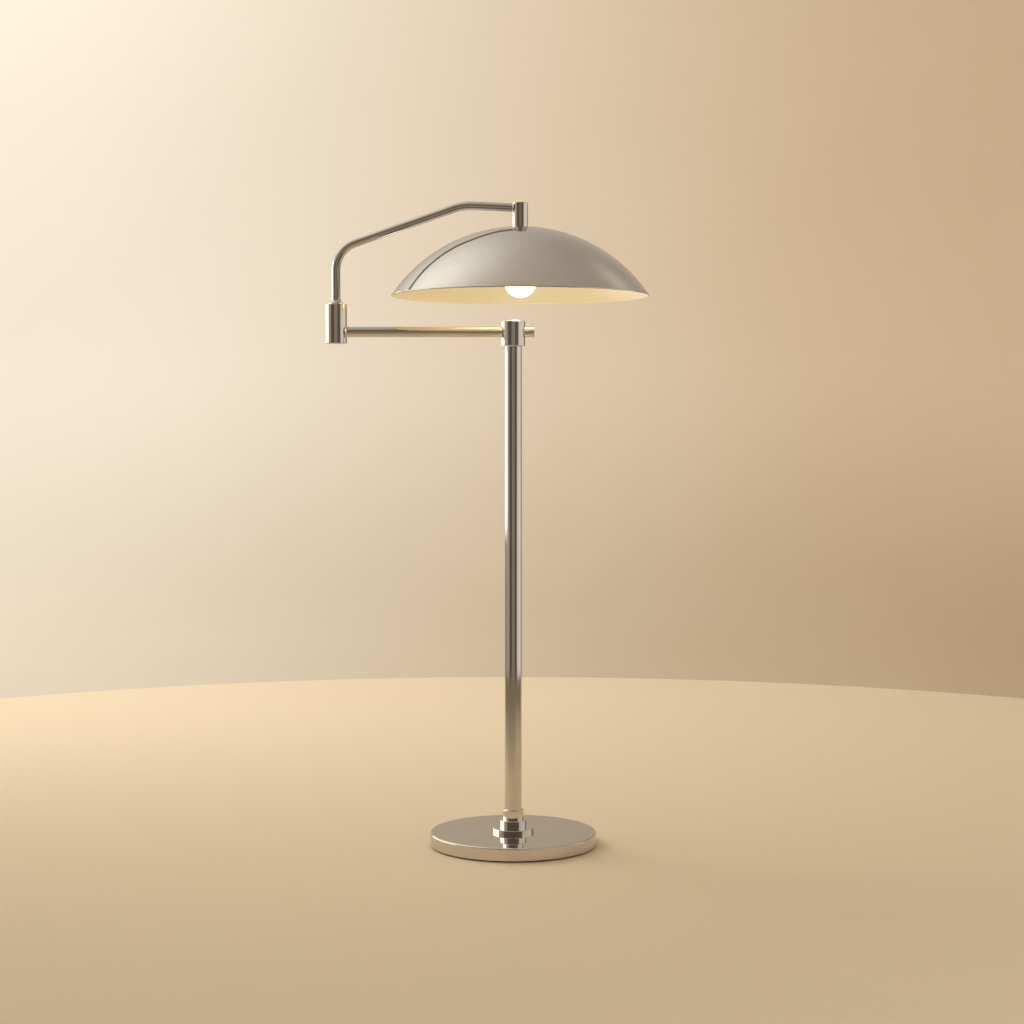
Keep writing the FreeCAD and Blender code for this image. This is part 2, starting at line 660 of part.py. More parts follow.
def switch_knob():
    knob = bar_y(KNOB_RADIUS, KNOB_NEAR_Y, KNOB_FAR_Y, SWITCH_HEIGHT, SHADE_X)
    face = [edge for edge in knob.Edges if abs(edge.CenterOfMass.y - KNOB_FAR_Y) < 0.01]
    knob = knob.makeFillet(1.2, face)
    flute_circle = KNOB_RADIUS + FLUTE_RADIUS / 2
    for step in range(KNOB_FLUTES):
        angle = 2 * math.pi * step / KNOB_FLUTES
        x = SHADE_X + flute_circle * math.cos(angle)
        height = SWITCH_HEIGHT + flute_circle * math.sin(angle)
        knob = knob.cut(bar_y(FLUTE_RADIUS, KNOB_NEAR_Y + 1.5, KNOB_FAR_Y + 1, height, x))
    return knob.cut(bar_y(SWITCH_SHAFT_RADIUS, KNOB_NEAR_Y - 1, KNOB_FAR_Y - 4, SWITCH_HEIGHT, SHADE_X))


def bulb_outline(inset):
    """Edges from the bulb's tip, round its ball and up its neck, moved inwards by inset."""
    radius = BULB_RADIUS - inset
    neck = BULB_NECK_RADIUS - inset
    centre = BULB_TIP + BULB_RADIUS
    reach = math.hypot(neck, BULB_NECK_HEIGHT - centre)
    angle = math.atan2(BULB_NECK_HEIGHT - centre, neck) - math.acos(radius / reach)
    tangent = V(radius * math.cos(angle), 0, centre + radius * math.sin(angle))
    tip = V(0, 0, centre - radius)
    side = V(radius * math.cos(-math.pi / 5), 0, centre + radius * math.sin(-math.pi / 5))
    shoulder = V(neck, 0, BULB_NECK_HEIGHT)
    rim = V(neck, 0, BULB_GLASS_TOP)
    return [Part.Arc(tip, side, tangent).toShape(), Part.LineSegment(tangent, shoulder).toShape(),
            Part.LineSegment(shoulder, rim).toShape()]


def bulb_glass():
    outer = bulb_outline(0)
    inner = bulb_outline(BULB_WALL)
    rim_outer = V(BULB_NECK_RADIUS, 0, BULB_GLASS_TOP)
    rim = Part.LineSegment(rim_outer, rim_outer - V(BULB_WALL, 0, 0))
    tip = Part.LineSegment(V(0, 0, BULB_TIP), V(0, 0, BULB_TIP + BULB_WALL))
    return turned_edges(outer + inner + [rim.toShape(), tip.toShape()], SHADE_X)


def bulb_cap():
    cone_top = BULB_CAP_TOP + BULB_CAP_CONE
    profile = [(0, BULB_GLASS_TOP), (BULB_CAP_RADIUS, BULB_GLASS_TOP), (BULB_CAP_RADIUS, BULB_CAP_TOP),
               (6.0, cone_top), (0, cone_top)]
    return turned(profile, SHADE_X)


def bulb_contact():
    return rod(CONTACT_RADIUS + 0.6, BULB_CAP_TOP + BULB_CAP_CONE, CONTACT_HEIGHT, SHADE_X)


# Internal wire, in three lengths that meet face to face on the two swivel axes

def post_wire():
    low = PAD_THICKNESS + WIRE_RADIUS + 0.3
    points = [V(0, WIRE_START_Y, INLET_HEIGHT), V(0, WIRE_START_Y - 20, INLET_HEIGHT), V(0, 50, low),
              V(0, 0, low), V(0, 0, SPINDLE_TOP)]
    return swept(bent_path(points, [80, 80, 8]), WIRE_RADIUS)


def cross_arm_wire():
    points = [V(0, 0, SPINDLE_TOP), V(0, 0, ARM_HEIGHT), V(KNUCKLE_X, 0, ARM_HEIGHT), V(KNUCKLE_X, 0, CHAMBER_TOP)]
    return swept(bent_path(points, [12, 14]), WIRE_RADIUS)


def upper_arm_wire():
    points = upper_arm_points()
    points[0] = V(KNUCKLE_X, 0, CHAMBER_TOP)
    points.append(V(SHADE_X, 0, HOLDER_SHOULDER + 0.2))
    return swept(bent_path(points, [BEND_LOW_RADIUS, BEND_HIGH_RADIUS, 11]), WIRE_RADIUS)


MAKERS = [felt_pad, base_cover, base_weight, cord_grommet, base_washer, base_nut, base_pipe,
          hub_flange, hub_socket, hub_ring, post_tube, post_bottom_plug, post_spindle,
          post_thrust_washer, post_wire,
          collar_body, collar_bush, collar_retaining_screw, arm_lock_screw, cross_arm_tube,
          arm_end_cap, arm_joint_ring, cross_arm_wire,
          knuckle_sleeve, knuckle_bottom_cap, knuckle_lower_bush, knuckle_upper_bush,
          knuckle_friction_washer, knuckle_stop_pin,
          knuckle_stop_ring, stop_ring_screw, upper_arm_tube, arm_ferrule, stem_joint_ring,
          upper_arm_wire, stem_body, stem_cap, shade_pipe, shade_shell, shade_washer, shade_nut,
          lampholder_cap, lampholder_shell, lampholder_insulator, screw_shell, centre_contact,
          switch_block, switch_bushing, bulb_glass, bulb_cap, bulb_contact,
          switch_shaft, switch_knob]


def write_parts():
    os.makedirs("parts", exist_ok=True)
    for maker in MAKERS:
        shape = maker()
        shape.exportStep(os.path.join("parts", maker.__name__ + ".step"))
        print(maker.__name__, "solids", len(shape.Solids), "valid", shape.isValid(), "mm3", round(shape.Volume, 1))


write_parts()
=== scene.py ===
import math
import bpy
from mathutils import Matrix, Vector, noise


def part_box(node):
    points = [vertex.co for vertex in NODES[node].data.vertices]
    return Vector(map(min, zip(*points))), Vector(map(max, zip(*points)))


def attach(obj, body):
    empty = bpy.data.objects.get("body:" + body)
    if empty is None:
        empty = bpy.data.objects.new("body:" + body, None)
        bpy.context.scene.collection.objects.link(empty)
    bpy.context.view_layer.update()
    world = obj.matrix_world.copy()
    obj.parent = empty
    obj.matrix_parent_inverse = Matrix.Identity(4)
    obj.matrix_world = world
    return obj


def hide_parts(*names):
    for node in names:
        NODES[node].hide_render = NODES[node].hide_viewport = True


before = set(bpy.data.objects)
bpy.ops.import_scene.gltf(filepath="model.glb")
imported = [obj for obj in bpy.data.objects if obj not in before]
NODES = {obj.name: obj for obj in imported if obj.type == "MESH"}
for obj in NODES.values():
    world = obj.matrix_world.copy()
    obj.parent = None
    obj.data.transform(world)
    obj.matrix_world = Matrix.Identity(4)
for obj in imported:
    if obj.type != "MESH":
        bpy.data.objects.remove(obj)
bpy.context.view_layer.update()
MM = 0.001


# Camera: about two thirds of the way up the lamp, tilted down slightly

EYE = Vector((-0.0024, -3.637, 0.7807))
TILT_DOWN = 2.41
LENS = 68.38


def make_camera():
    data = bpy.data.cameras.new("camera")
    data.lens = LENS
    camera = add_object("camera", data)
    camera.location = EYE
    camera.rotation_euler = (math.radians(90.0 - TILT_DOWN), 0.0, 0.0)
    bpy.context.scene.camera = camera


def add_object(name, data):
    obj = bpy.data.objects.new(name, data)
    bpy.context.scene.collection.objects.link(obj)
    return obj


# Shader nodes

class Nodes:
    """Adds shader nodes to one tree. An input is a number, a colour, a vector or another node's output."""

    def __init__(self, tree):
        self.tree = tree

    def set(self, socket, value):
        if isinstance(value, bpy.types.NodeSocket):
            self.tree.links.new(value, socket)
        elif value is not None:
            socket.default_value = value

    def add(self, kind, values=(), **settings):
        node = self.tree.nodes.new(kind)
        for name, setting in settings.items():
            setattr(node, name, setting)
        for key, value in dict(values).items():
            self.set(node.inputs[key], value)
        return node

    def place(self):
        return self.add("ShaderNodeTexCoord").outputs["Object"]

    def split(self, vector):
        return self.add("ShaderNodeSeparateXYZ", {"Vector": vector}).outputs

    def math(self, operation, a, b=None, c=None):
        node = self.add("ShaderNodeMath", operation=operation)
        for socket, value in zip(node.inputs, (a, b, c)):
            self.set(socket, value)
        return node.outputs[0]

    def azimuth(self, x, y):
        """Degrees round the lamp's axis, from the camera's side towards the right."""
        return self.math("DEGREES", self.math("ARCTAN2", x, self.math("MULTIPLY", y, -1.0)))

    def smooth(self, value, low, high, start=0.0, end=1.0):
        values = {"Value": value, "From Min": low, "From Max": high, "To Min": start, "To Max": end}
        return self.add("ShaderNodeMapRange", values, interpolation_type="SMOOTHSTEP").outputs["Result"]

    def between(self, value, low, high, blur):
        """One between two values and nought outside them."""
        rise = self.smooth(value, low - blur, low + blur)
        fall = self.smooth(value, high - blur, high + blur, 1.0, 0.0)
        return self.math("MULTIPLY", rise, fall)

    def mix(self, factor, a, b, blend="MIX"):
        """Mixes two colours. The colour sockets share their names with others, so they go by number."""
        node = self.add("ShaderNodeMix", data_type="RGBA", blend_type=blend)
        self.set(node.inputs["Factor"], factor)
        self.set(node.inputs[6], a)
        self.set(node.inputs[7], b)
        return node.outputs[2]

    def ramp(self, factor, stops):
        node = self.add("ShaderNodeValToRGB", {"Fac": factor})
        elements = node.color_ramp.elements
        while len(elements) < len(stops):
            elements.new(0.5)
        for element, (position, colour) in zip(elements, stops):
            element.position = position
            element.color = rgba(colour)
        return node.outputs["Color"]

    def noise(self, scale, vector, detail=3.0, roughness=0.5, stretch=None):
        if stretch:
            vector = self.add("ShaderNodeMapping", {"Vector": vector, "Scale": stretch}).outputs["Vector"]
        values = {"Vector": vector, "Scale": scale, "Detail": detail, "Roughness": roughness}
        return self.add("ShaderNodeTexNoise", values).outputs["Fac"]

    def bump(self, height, strength, distance):
        values = {"Height": height, "Strength": strength, "Distance": distance}
        return self.add("ShaderNodeBump", values).outputs["Normal"]


def rgba(colour):
    if isinstance(colour, (int, float)):
        return (colour, colour, colour, 1.0)
    return (*colour, 1.0)


def new_material(name):
    material = bpy.data.materials.new(name)
    material.use_nodes = True
    return material, Nodes(material.node_tree), material.node_tree.nodes["Principled BSDF"]


# World: a room, given as directions round the lamp in degrees.
# Azimuth 0 is towards the camera and 90 is to the right.

ROOM_BAND = [
    # back wall
    (-180, (0.49, 0.395, 0.29)),
    (-166, (0.56, 0.465, 0.35)),
    (-156, (0.70, 0.60, 0.46)),
    # wall under the window, then the rest of the left wall
    (-150, (0.60, 0.54, 0.43)),
    (-88, (0.60, 0.54, 0.43)),
    (-82, (0.49, 0.43, 0.36)),
    (-57, (0.42, 0.365, 0.30)),
    # dim room behind the camera, with a paler strip in its middle
    (-50, (0.14, 0.105, 0.070)),
    (-20, (0.12, 0.090, 0.060)),
    (-13, (0.31, 0.255, 0.20)),
    (15, (0.29, 0.24, 0.185)),
    (21, (0.14, 0.105, 0.070)),
    (47, (0.15, 0.115, 0.080)),
    # bright right side
    (54, (0.81, 0.735, 0.635)),
    (116, (0.93, 0.865, 0.78)),
    # shaded corner, then the back wall again
    (124, (0.34, 0.26, 0.20)),
    (152, (0.40, 0.30, 0.22)),
    (160, (0.46, 0.365, 0.265)),
    (180, (0.49, 0.395, 0.29)),
]
FRONT_DARK = (0.125, 0.095, 0.065)
FRONT_SIDES = (-54.0, 50.0)
FRONT_FOOT = (4.0, 9.0)
WINDOW = (2.6, 2.5, 2.25)
WINDOW_SIDES = (-149.0, -87.5)
WINDOW_HEIGHTS = (-2.9, 17.0)
UNDER_WINDOW = (0.38, 0.32, 0.25)
SILL = (-3.4, -2.4)
CEILING = (0.535, 0.475, 0.405)
CEILING_START = (10.0, 20.0)
WINDOW_GLOW = (0.80, 0.80, 0.745)
RIGHT_CEILING = (0.41, 0.355, 0.285)
RIGHT_PATCH = (0.20, 0.18, 0.16)


def towards(azimuth, elevation):
    """Unit vector for a direction round the lamp."""
    a, e = math.radians(azimuth), math.radians(elevation)
    return Vector((math.sin(a) * math.cos(e), -math.cos(a) * math.cos(e), math.sin(e)))


def lobe(g, direction, azimuth, elevation, power):
    """Soft round patch about one direction. A higher power is a smaller patch."""
    aim = tuple(towards(azimuth, elevation))
    dot = g.add("ShaderNodeVectorMath", {0: direction, 1: aim}, operation="DOT_PRODUCT")
    return g.math("POWER", g.math("MAXIMUM", dot.outputs["Value"], 0.0), power)


def make_world():
    world = bpy.data.worlds.new("studio")
    bpy.context.scene.world = world
    world.use_nodes = True
    g = Nodes(world.node_tree)
    direction = g.add("ShaderNodeTexCoord").outputs["Generated"]
    x, y, z = g.split(direction)
    azimuth = g.azimuth(x, y)
    elevation = g.math("DEGREES", g.math("ARCSINE", z))

    turn = g.math("MULTIPLY_ADD", azimuth, 1 / 360, 0.5)
    band = g.ramp(turn, [(angle / 360 + 0.5, colour) for angle, colour in ROOM_BAND])
    over_front = g.math("MULTIPLY", g.between(azimuth, *FRONT_SIDES, 3.0), g.smooth(elevation, *FRONT_FOOT))
    band = g.mix(over_front, band, rgba(FRONT_DARK))
    window_side = g.between(azimuth, *WINDOW_SIDES, 2.5)
    under_window = g.math("MULTIPLY", window_side, g.smooth(elevation, *SILL, 1.0, 0.0))
    band = g.mix(under_window, band, rgba(UNDER_WINDOW))

    upper = g.mix(lobe(g, direction, -126, 45, 5.5), rgba(CEILING), rgba(WINDOW_GLOW), "ADD")
    over_right = g.math("MULTIPLY", lobe(g, direction, 130, 40, 2.5), 0.9)
    upper = g.mix(over_right, upper, rgba(RIGHT_CEILING))
    upper = g.mix(lobe(g, direction, 0, 15, 4.6), upper, rgba(FRONT_DARK))
    upper = g.mix(lobe(g, direction, 131, 38, 60.0), upper, rgba(RIGHT_PATCH), "ADD")

    colour = g.mix(g.smooth(elevation, *CEILING_START), band, upper)
    window = g.math("MULTIPLY", window_side, g.between(elevation, *WINDOW_HEIGHTS, 0.5))
    colour = g.mix(window, colour, rgba(WINDOW))
    g.set(world.node_tree.nodes["Background"].inputs["Color"], colour)


# Stage: a round floor that curves up into a wall

FLOOR_RADIUS = 2.49
# Stage tones go from lit on the left to shaded on the right: painted light from the left
FLOOR_LIT_TO_SHADED_TONES = ((0.69, 0.59, 0.44), (0.69, 0.585, 0.435))
FLOOR_CLOUD = (0.77, 0.68, 0.55)
WALL_RADIUS = 4.4
WALL_FOOT = 2.1
WALL_HEIGHT = 4.6
WALL_LIT_TO_SHADED_TONES = ((0.80, 0.78, 0.73), (0.62, 0.50, 0.37))
WALL_CLOUD = (0.86, 0.82, 0.74)
# Painted shade multiplied into the wall near the floor
WALL_FOOT_PAINTED_SHADE = (0.74, 0.70, 0.64)
CURVE_STEPS = 24
CURVE_SLOPE = 0.25
STAGE_SEGMENTS = 128
# Painted reflection: the shaded floor's tone that the card glows with
FLAG_PAINTED_FLOOR_SHADE = (0.25, 0.20, 0.145)
FLAG_START = 0.30
FLAG_HEIGHT = 4.0 * MM
FLAG_SEGMENTS = 96
FLAG_SIDES = (-138.0, 122.0)
FLAG_NEAR_LEFT = 0.45
FLAG_NEAR_RIGHT = 1.05
FLAG_FAR = 2.15


def revolved_sheet(name, profile, segments):
    """Open surface of revolution about the lamp's axis."""
    verts = []
    faces = []
    count = len(profile)
    for step in range(segments):
        angle = 2 * math.pi * step / segments
        verts += [(radius * math.cos(angle), radius * math.sin(angle), z) for radius, z in profile]
    for step in range(segments):
        here = step * count
        there = ((step + 1) % segments) * count
        faces += [(here + k, there + k, there + k + 1, here + k + 1) for k in range(count - 1)]
    mesh = bpy.data.meshes.new(name)
    mesh.from_pydata(verts, [], faces)
    mesh.shade_smooth()
    return add_object(name, mesh)


def plaster(name, tones, cloud_colour, foot_shade):
    """Pale plastered surface with painted light: it turns from a lit tone on the left to a painted shaded
    tone towards the right, and painted shade darkens it towards the floor.
    """
    material, g, shader = new_material(name)
    place = g.place()
    x, y, z = g.split(place)
    # Painted light: share of the shaded tone, rising towards the right and the back
    across = g.math("MULTIPLY", g.smooth(x, -2.0, 1.9), g.smooth(y, -1.5, 1.0))
    colour = g.mix(across, rgba(tones[0]), rgba(tones[1]))
    # Painted shade: darker towards the floor
    colour = g.mix(g.smooth(z, 0.0, 1.1, 1.0, 0.0), colour, rgba(foot_shade), "MULTIPLY")
    cloud = g.math("MULTIPLY", g.noise(1.4, place, 4.0, 0.55), 0.12)
    g.set(shader.inputs["Base Color"], g.mix(cloud, colour, rgba(cloud_colour)))
    shader.inputs["Roughness"].default_value = 0.9
    shader.inputs["Specular IOR Level"].default_value = 0.1
    return material


def make_floor_shade_card():
    """A dark glowing card just over the floor, a painted reflection of shaded floor. Only reflections show
    it.

    It fades in with the distance from the lamp, later on the right, and is left out behind the lamp.
    """
    edges = [(FLAG_START, FLAG_HEIGHT), (FLOOR_RADIUS, FLAG_HEIGHT)]
    flag = revolved_sheet("floor_shade_reflection_card", edges, FLAG_SEGMENTS)
    material, g, shader = new_material("flag")
    place = g.place()
    x, y, z = g.split(place)
    azimuth = g.azimuth(x, y)
    away = g.add("ShaderNodeVectorMath", {0: place}, operation="LENGTH").outputs["Value"]
    near = g.smooth(azimuth, 5.0, 50.0, FLAG_NEAR_LEFT, FLAG_NEAR_RIGHT)
    shown = g.math("MULTIPLY", g.between(azimuth, *FLAG_SIDES, 22.0), g.smooth(away, near, FLAG_FAR))
    shader.inputs["Base Color"].default_value = rgba(0.0)
    shader.inputs["Specular IOR Level"].default_value = 0.0
    # Painted reflection of shaded floor, as a dark glow
    shader.inputs["Emission Color"].default_value = rgba(FLAG_PAINTED_FLOOR_SHADE)
    shader.inputs["Emission Strength"].default_value = 1.0
    g.set(shader.inputs["Alpha"], shown)
    flag.data.materials.append(material)
    flag.visible_camera = False
    flag.visible_diffuse = False
    flag.visible_shadow = False
    return flag


def make_stage():
    floor = revolved_sheet("floor", [(0.2 * MM, 0.0), (FLOOR_RADIUS, 0.0)], STAGE_SEGMENTS)
    floor.data.materials.append(plaster("floor_plaster", FLOOR_LIT_TO_SHADED_TONES, FLOOR_CLOUD, 1.0))
    curve = []
    for step in range(CURVE_STEPS + 1):
        run = math.sin(math.pi / 2 * step / CURVE_STEPS)
        rise = CURVE_SLOPE * run + (1 - CURVE_SLOPE) * (1 - math.sqrt(1 - run ** 4))
        curve.append((FLOOR_RADIUS + (WALL_RADIUS - FLOOR_RADIUS) * run, WALL_FOOT * rise))
    curve.append((WALL_RADIUS, WALL_HEIGHT))
    wall = revolved_sheet("wall", curve, STAGE_SEGMENTS)
    wall.data.materials.append(plaster("wall_plaster", WALL_LIT_TO_SHADED_TONES, WALL_CLOUD, WALL_FOOT_PAINTED_SHADE))
    wall.visible_glossy = False
    wall.visible_shadow = False
    make_floor_shade_card()


def area_light(name, place, target, size, power, colour, spread=180):
    data = bpy.data.lights.new(name, "AREA")
    data.shape = "RECTANGLE"
    data.size, data.size_y = size
    data.energy = power
    data.color = colour
    data.spread = math.radians(spread)
    light = add_object(name, data)
    light.location = place
    light.rotation_euler = (Vector(target) - Vector(place)).to_track_quat("-Z", "Y").to_euler()
    light.visible_camera = False
    light.visible_glossy = False


def make_lights():
    white = (1.0, 0.97, 0.93)
    area_light("key", 3.8 * towards(-125, 36), (0, 0, 0.4), (1.6, 1.6), 33, (1.0, 0.94, 0.84))
    area_light("wall_wash", (-1.4, 1.4, 3.4), (-1.4, 4.4, 1.3), (3.0, 1.0), 72, white)
    area_light("daylight", (-2.3, -0.9, 0.62), (0.2, 0.02, 1.08), (0.5, 0.3), 0.6, (0.55, 0.76, 1.0), 24)
    area_light("far_wash", (1.0, -1.0, 3.8), (3.4, -3.4, 1.2), (2.4, 1.2), 20, white, 120)


# Turned pieces: solids of revolution with exact normals

ON_AXIS = 1e-7


def turned_piece(name, stations, segments, axis, closed=True):
    """Solid of revolution about an upright axis, with its own normals on every face corner.

    A station is a point (radius, height) and the normals of the surface before and after it. The outline may
    run either way round. Where it meets the axis its normals are upright.
    """
    following = stations[1:] + stations[:1]
    area = sum(a[0].x * b[0].y - b[0].x * a[0].y for a, b in zip(stations, following))
    if area < 0:
        stations = [(point, after, before) for point, before, after in reversed(stations)]
    verts = []
    rings = []
    for point, _, _ in stations:
        if point.x < ON_AXIS:
            rings.append([len(verts)] * segments)
            verts.append((axis[0], axis[1], point.y))
            continue
        rings.append(list(range(len(verts), len(verts) + segments)))
        for step in range(segments):
            angle = 2 * math.pi * step / segments
            x = axis[0] + point.x * math.cos(angle)
            y = axis[1] + point.x * math.sin(angle)
            verts.append((x, y, point.y))
    faces = []
    normals = []
    for k in range(len(stations) if closed else len(stations) - 1):
        after = (k + 1) % len(stations)
        near, far = rings[k], rings[after]
        leaving, arriving = stations[k][2], stations[after][1]
        for step in range(segments):
            there = (step + 1) % segments
            corners = {}
            corners.setdefault(near[step], (step, leaving))
            corners.setdefault(near[there], (step + 1, leaving))
            corners.setdefault(far[there], (step + 1, arriving))
            corners.setdefault(far[step], (step, arriving))
            faces.append(list(corners))
            for turn, slope in corners.values():
                angle = 2 * math.pi * turn / segments
                normals.append(Vector((slope.x * math.cos(angle), slope.x * math.sin(angle), slope.y)))
    mesh = bpy.data.meshes.new(name)
    mesh.from_pydata(verts, [], faces)
    mesh.shade_smooth()
    mesh.normals_split_custom_set([normal.normalized() for normal in normals])
    return add_object(name, mesh)


def finish_piece(piece, body, material, node):
    piece.data.materials.append(material)
    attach(piece, body)
    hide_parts(node)


def arc(centre, radius, start, end, steps, side=1):
    """Stations on a circle, by angles from straight up towards the outside. Side -1 faces its middle."""
    stations = []
    for step in range(steps + 1):
        angle = start + (end - start) * step / steps
        arm = Vector((math.sin(angle), math.cos(angle)))
        stations.append((centre + arm * radius, arm * side, arm * side))
    return stations


def join_runs(*runs):
    """Gives the first and last station of each run the normals of the straight edge to its neighbour."""
    for k, run in enumerate(runs):
        after = runs[(k + 1) % len(runs)]
        edge = (after[0][0] - run[-1][0]).normalized()
        across = Vector((-edge.y, edge.x))
        run[-1] = (run[-1][0], run[-1][1], across)
        after[0] = (after[0][0], across, after[0][2])


# Shade: part of a ball, as a spun nickel skin with a rolled hem and an enamel lining inside it

LINING = 0.12 * MM
SKIN = 1.0 * MM
HEM = 1.4 * MM
RIM_RADIUS = 240.0 * MM
RISE = 127.9 * MM
PIPE_HOLE = 5.2 * MM
BALL = (RIM_RADIUS ** 2 + RISE ** 2) / (2 * RISE)
HEM_CENTRE_INSET = 0.9 * HEM
SKIN_INSET = 1.2 * HEM
LINING_INSET = 1.25 * HEM
HEM_START = math.radians(8)
HEM_BOTTOM = math.radians(180)
HEM_END = math.radians(292)
SHADE_STEPS = 96
SHADE_SEGMENTS = 192


def upright_axis(low, high):
    return (low.x + high.x) / 2, (low.y + high.y) / 2


def ball_arc(centre, radius, start, end, side):
    """Stations on the shade's ball between two distances from its axis."""
    return arc(centre, radius, math.asin(start / radius), math.asin(end / radius), SHADE_STEPS, side)


def make_shade(metal, enamel):
    low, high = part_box("shade_shell")
    axis = upright_axis(low, high)
    centre = Vector((0.0, low.z + 0.4 * HEM + RISE - BALL))
    hem = Vector((RIM_RADIUS - HEM_CENTRE_INSET, low.z + HEM))
    inner = BALL - SKIN

    outside = ball_arc(centre, BALL, PIPE_HOLE, hem.x, 1)
    roll = arc(hem, HEM, HEM_START, HEM_END, 24)
    inside = ball_arc(centre, inner, hem.x - SKIN_INSET, PIPE_HOLE, -1)
    join_runs(outside, roll, inside)
    skin = turned_piece("shade_outer", outside + roll + inside, SHADE_SEGMENTS, axis)
    finish_piece(skin, "upper_arm", metal, "shade_shell")

    seen = arc(hem, HEM + LINING, HEM_BOTTOM, HEM_END, 12)
    seen += ball_arc(centre, inner - LINING, hem.x - LINING_INSET, PIPE_HOLE, -1)
    backing = ball_arc(centre, inner, PIPE_HOLE, hem.x - SKIN_INSET, 1)
    backing += arc(hem, HEM, HEM_END, HEM_BOTTOM, 12)
    join_runs(seen, backing)
    lining = turned_piece("shade_lining", seen + backing, SHADE_SEGMENTS, axis)
    finish_piece(lining, "upper_arm", enamel, "shade_shell")


# Bulb: a frosted envelope that glows

BULB_NECK = 14.0 * MM
BULB_COLLAR = 3.0 * MM
BULB_STEPS = 48
BULB_SEGMENTS = 96
LAMP_SOFTNESS = 26.0 * MM


def make_bulb(glass):
    """A ball with a straight cone from its widest part to the neck, then the neck's short collar."""
    low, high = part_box("bulb_glass")
    axis = upright_axis(low, high)
    radius = (high.x - low.x) / 2
    middle = low.z + radius
    shoulder = high.z - BULB_COLLAR
    reach = math.hypot(BULB_NECK, shoulder - middle)
    tangent = math.atan2(shoulder - middle, BULB_NECK) - math.acos(radius / reach)
    across, up = Vector((1.0, 0.0)), Vector((0.0, 1.0))
    cone = Vector((math.cos(tangent), math.sin(tangent)))
    stations = [(Vector((0.0, low.z)), -up, -up)]
    for step in range(1, BULB_STEPS + 1):
        angle = -math.pi / 2 + (tangent + math.pi / 2) * step / BULB_STEPS
        arm = Vector((math.cos(angle), math.sin(angle)))
        stations.append((Vector((0.0, middle)) + arm * radius, arm, arm))
    stations.append((Vector((BULB_NECK, shoulder)), cone, across))
    stations.append((Vector((BULB_NECK, high.z)), across, up))
    stations.append((Vector((0.0, high.z)), up, up))
    bulb = turned_piece("bulb_envelope", stations, BULB_SEGMENTS, axis, closed=False)
    finish_piece(bulb, "upper_arm", glass, "bulb_glass")
    bulb.visible_shadow = False
    hidden_lamp("bulb_glow", "POINT", (*axis, middle), 0.16, (1.0, 0.78, 0.34))
    upward = hidden_lamp("bulb_upward_glow", "SPOT", (*axis, middle), 0.85, (1.0, 0.97, 0.92))
    upward.rotation_euler = (math.pi, 0.0, 0.0)
    upward.data.spot_size = math.radians(156)
    upward.data.spot_blend = 0.6


def hidden_lamp(name, kind, place, power, colour):
    """A lamp inside the bulb that lights the shade's lining, and which no reflection shows."""
    lamp = add_object(name, bpy.data.lights.new(name, kind))
    lamp.data.energy = power
    lamp.data.color = colour
    lamp.data.shadow_soft_size = LAMP_SOFTNESS
    lamp.location = place
    lamp.visible_camera = False
    lamp.visible_glossy = False
    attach(lamp, "upper_arm")
    return lamp


# Felt disc under the base, with a slightly ragged edge

FELT_SEGMENTS = 360
FELT_MARGIN = 0.35 * MM
FELT_TUFT = 0.35 * MM
FELT_NAP = 0.12 * MM
TUFTS_START = 0.9
NAP_END = 0.93
FELT_GRAIN = 14.0
# The edge's section from the underside to the top: share of the radius, share of the thickness
FELT_SECTION = [(0.55, 0.0), (0.94, 0.0), (0.992, 0.10), (1.0, 0.5), (0.992, 0.9), (0.94, 1.0), (0.55, 1.0)]


def make_felt(cloth):
    low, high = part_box("felt_pad")
    x, y = upright_axis(low, high)
    size = high.y - low.y
    radius = size / 2 - FELT_MARGIN
    thickness = high.z - low.z
    count = len(FELT_SECTION)
    verts = []
    faces = []
    for step in range(FELT_SEGMENTS):
        angle = 2 * math.pi * step / FELT_SEGMENTS
        seed = Vector((math.cos(angle), math.sin(angle), 0.0)) * FELT_GRAIN
        for share, level in FELT_SECTION:
            tuft = noise.noise(seed + Vector((0, 0, 3.0 * level))) * FELT_TUFT
            tuft *= max(0.0, (share - TUFTS_START) / (1 - TUFTS_START))
            hollow = 0.0
            if level > 0.5 and share < NAP_END:
                hollow = min(0.0, FELT_NAP * noise.noise(seed * share + Vector((5.0, 0, level))))
            reach = radius * share + tuft
            height = low.z + thickness * level + hollow
            verts.append((x + reach * math.cos(angle), y + reach * math.sin(angle), height))
    bottom, top = len(verts), len(verts) + 1
    verts += [(x, y, low.z), (x, y, low.z + thickness)]
    for step in range(FELT_SEGMENTS):
        here = step * count
        there = (step + 1) % FELT_SEGMENTS * count
        faces.append((bottom, there, here))
        faces.append((here + count - 1, there + count - 1, top))
        faces += [(here + k, there + k, there + k + 1, here + k + 1) for k in range(count - 1)]
    mesh = bpy.data.meshes.new("felt_disc")
    mesh.from_pydata(verts, [], faces)
    mesh.shade_smooth()
    disc = add_object("felt_disc", mesh)
    finish_piece(disc, "base", cloth, "felt_pad")


# Materials

def mottled(name, tones, clouds, rough, grain, stretch=None, **sockets):
    """A material with two tones in clouds, a roughness that follows them, and a fine grain as bump.

    tones are the two colours, clouds and grain[0] are marks per metre, rough is the range of roughness,
    and grain[1:] are the bump's strength and its depth in metres. Any other socket is set by name.
    """
    material, g, shader = new_material(name)
    place = g.place()
    patch = g.smooth(g.noise(clouds, place, 5.0, 0.6), 0.36, 0.66)
    fine = g.noise(grain[0], place, 3.0, 0.55, stretch)
    g.set(shader.inputs["Base Color"], g.mix(patch, rgba(tones[0]), rgba(tones[1])))
    span = rough[1] - rough[0]
    patch_rough = g.math("MULTIPLY_ADD", patch, 0.6 * span, rough[0])
    g.set(shader.inputs["Roughness"], g.math("MULTIPLY_ADD", fine, 0.4 * span, patch_rough))
    g.set(shader.inputs["Normal"], g.bump(fine, grain[1], grain[2]))
    for key, value in sockets.items():
        shader.inputs[key.replace("_", " ")].default_value = value
    return material


